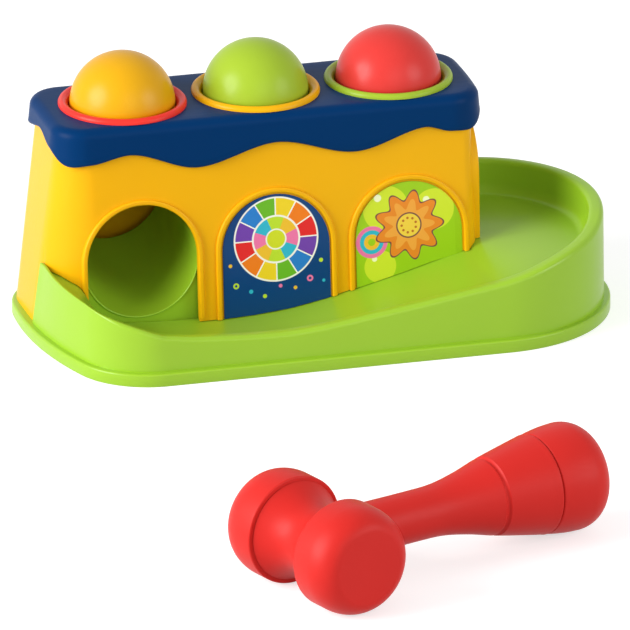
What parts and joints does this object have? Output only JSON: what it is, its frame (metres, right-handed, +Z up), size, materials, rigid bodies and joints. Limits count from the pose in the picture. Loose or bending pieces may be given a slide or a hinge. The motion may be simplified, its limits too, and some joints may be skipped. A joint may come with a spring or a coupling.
{
  "type": "pounding toy",
  "caption": "Plastic pounding toy: balls pushed down through rings in a wavy cover drop inside a housing and roll out of an arch or round a ramp tray, with a loose hammer.",
  "frame": {"origin": "on the floor, under the middle of the bounds of the whole set, hammer included", "axes": "+X along the housing to its right end, +Y to the back, +Z up"},
  "size_m": [0.2508, 0.417, 0.1177],
  "materials": {
    "green_plastic": "satin moulded plastic",
    "yellow_plastic": "satin moulded plastic",
    "navy_plastic": "satin moulded plastic",
    "red_plastic": "satin moulded plastic",
    "lime_plastic": "satin moulded plastic",
    "soft_grip": "soft, slightly tacky",
    "label_print": "printed film",
    "screw_steel": "plain steel"
  },
  "bodies": {
    "bench": {"base_plate": "green_plastic", "ramp_tray": "green_plastic", "ball_tunnel": "green_plastic", "inner_chute": "green_plastic", "body_housing": "yellow_plastic", "top_cover": "navy_plastic", "ring_left": "red_plastic", "ring_middle": "yellow_plastic", "ring_right": "lime_plastic", "grip_left": "soft_grip", "grip_middle": "soft_grip", "grip_right": "soft_grip", "label_middle": "label_print", "label_right": "label_print", "cover_screw_1": "screw_steel", "cover_screw_2": "screw_steel", "cover_screw_3": "screw_steel", "cover_screw_4": "screw_steel", "housing_screw_1": "screw_steel", "housing_screw_2": "screw_steel", "housing_screw_3": "screw_steel", "housing_screw_4": "screw_steel", "tray_screw_1": "screw_steel", "tray_screw_2": "screw_steel", "tray_screw_3": "screw_steel"},
    "left_ball": {"ball_left_upper": "yellow_plastic", "ball_left_lower": "yellow_plastic"},
    "middle_ball": {"ball_middle_upper": "lime_plastic", "ball_middle_lower": "lime_plastic"},
    "right_ball": {"ball_right_upper": "red_plastic", "ball_right_lower": "red_plastic"},
    "hammer": {"hammer_head": "red_plastic", "hammer_cap_front": "red_plastic", "hammer_cap_back": "red_plastic", "hammer_handle": "red_plastic", "hammer_knob": "red_plastic"}
  },
  "joints": [
    {"name": "left_ball_drop", "type": "slide", "parent": "bench", "child": "left_ball", "axis": [0, 0, 1], "range_m": [-0.0565, 0.03]},
    {"name": "middle_ball_drop", "type": "slide", "parent": "bench", "child": "middle_ball", "axis": [0, 0, 1], "range_m": [-0.0291, 0.03]},
    {"name": "right_ball_drop", "type": "slide", "parent": "bench", "child": "right_ball", "axis": [0, 0, 1], "range_m": [-0.0373, 0.03]},
    {"name": "hammer_lift", "type": "slide", "parent": "bench", "child": "hammer", "axis": [0, 0, 1], "range_m": [0, 0.15]}
  ]
}
